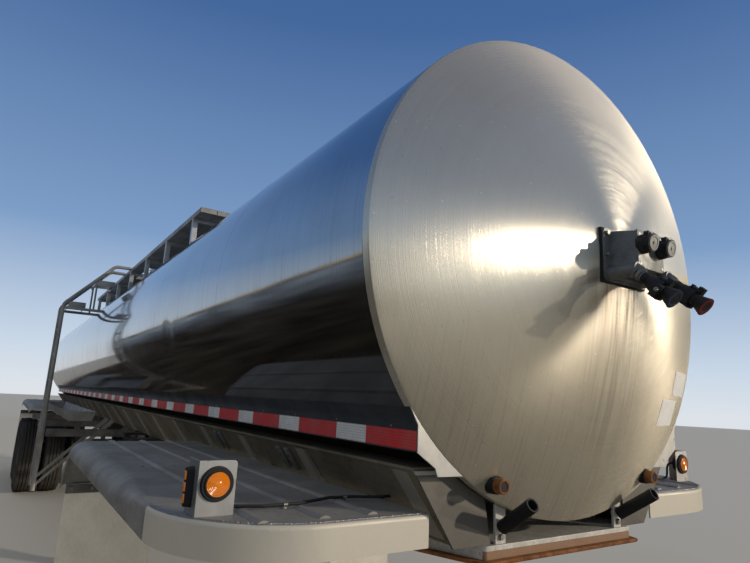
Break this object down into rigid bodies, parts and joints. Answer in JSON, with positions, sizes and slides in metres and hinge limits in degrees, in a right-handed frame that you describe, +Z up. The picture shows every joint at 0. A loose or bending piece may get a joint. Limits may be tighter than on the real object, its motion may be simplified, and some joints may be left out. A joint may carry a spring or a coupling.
{
  "type": "tank semi-trailer",
  "caption": "Stainless tank semi-trailer on landing legs, with rolling twin wheels, a hinged manhole lid, fenders, side ladder, walkway and nose couplings.",
  "frame": {"origin": "on the ground under the middle of the trailer's whole length and width", "axes": "+X forward towards the coupler, +Y to the trailer's left, +Z up"},
  "size_m": [12.659, 2.4402, 3.1103],
  "materials": {
    "polished_stainless": "mirror polished",
    "brushed_stainless": "circular brushed",
    "bright_aluminium": "mill finish",
    "grey_aluminium": "dull, weathered",
    "frame_metal": "dull, dirty",
    "dark_rail": "dark grey",
    "rusty_steel": "rusted",
    "black_steel": "black paint",
    "cast_metal": "black cast",
    "grey_casting": "cast",
    "rubber": "matt",
    "tyre": "worn",
    "wheel_metal": "white paint, dusty",
    "amber_lens": "amber lens",
    "red_lens": "red lens",
    "white_flap": "dusty white"
  },
  "bodies": {
    "trailer": {"tank_end_shells": "polished_stainless", "tank_middle_shell": "polished_stainless", "tank_heads": "brushed_stainless", "manhole_neck": "brushed_stainless", "manhole_swing_bolts": "brushed_stainless", "side_rails": "dark_rail", "front_plates": "bright_aluminium", "frame_sides": "frame_metal", "frame_saddles": "frame_metal", "coupler_pan": "bright_aluminium", "coupler_plate": "rusty_steel", "kingpin": "rusty_steel", "front_posts": "bright_aluminium", "drain_tubes": "rubber", "front_fenders": "grey_aluminium", "rear_fenders": "grey_aluminium", "fender_carriers": "frame_metal", "lamp_brackets": "bright_aluminium", "amber_lamps": "amber_lens", "mud_flaps": "white_flap", "nose_box": "grey_casting", "receptacles": "cast_metal", "air_couplings": "cast_metal", "walkway_planks": "grey_aluminium", "walkway_posts": "bright_aluminium", "ladder_rails": "grey_aluminium", "ladder_treads": "bright_aluminium", "hose_trays": "grey_aluminium", "outriggers": "frame_metal", "landing_beam": "black_steel", "landing_legs": "black_steel", "landing_drive": "black_steel", "landing_braces": "black_steel", "axles": "black_steel", "suspension_hangers": "black_steel", "trailing_arms": "black_steel", "air_springs": "rubber", "rear_bumper": "frame_metal", "tail_lamps": "red_lens", "outlet_pipe": "brushed_stainless", "air_reservoirs": "black_steel", "top_vent": "brushed_stainless", "lamp_leads": "rubber", "shock_absorbers": "black_steel"},
    "manhole_lid": {"manhole_lid": "brushed_stainless"},
    "front_left_wheel": {"front_left_wheels": "wheel_metal", "front_left_tyres": "tyre"},
    "front_right_wheel": {"front_right_wheels": "wheel_metal", "front_right_tyres": "tyre"},
    "rear_left_wheel": {"rear_left_wheels": "wheel_metal", "rear_left_tyres": "tyre"},
    "rear_right_wheel": {"rear_right_wheels": "wheel_metal", "rear_right_tyres": "tyre"}
  },
  "joints": [
    {"name": "manhole_lid_hinge", "type": "hinge", "parent": "trailer", "child": "manhole_lid", "pos_m": [0.1, 0.322, 3.066], "axis": [-1, 0, 0], "range_deg": [0, 100]},
    {"name": "front_left_roll", "type": "hinge", "parent": "trailer", "child": "front_left_wheel", "pos_m": [-3.4, 0.91, 0.522], "axis": [0, 1, 0], "continuous": true},
    {"name": "front_right_roll", "type": "hinge", "parent": "trailer", "child": "front_right_wheel", "pos_m": [-3.4, -0.91, 0.522], "axis": [0, 1, 0], "continuous": true},
    {"name": "rear_left_roll", "type": "hinge", "parent": "trailer", "child": "rear_left_wheel", "pos_m": [-4.65, 0.91, 0.522], "axis": [0, 1, 0], "continuous": true},
    {"name": "rear_right_roll", "type": "hinge", "parent": "trailer", "child": "rear_right_wheel", "pos_m": [-4.65, -0.91, 0.522], "axis": [0, 1, 0], "continuous": true}
  ]
}
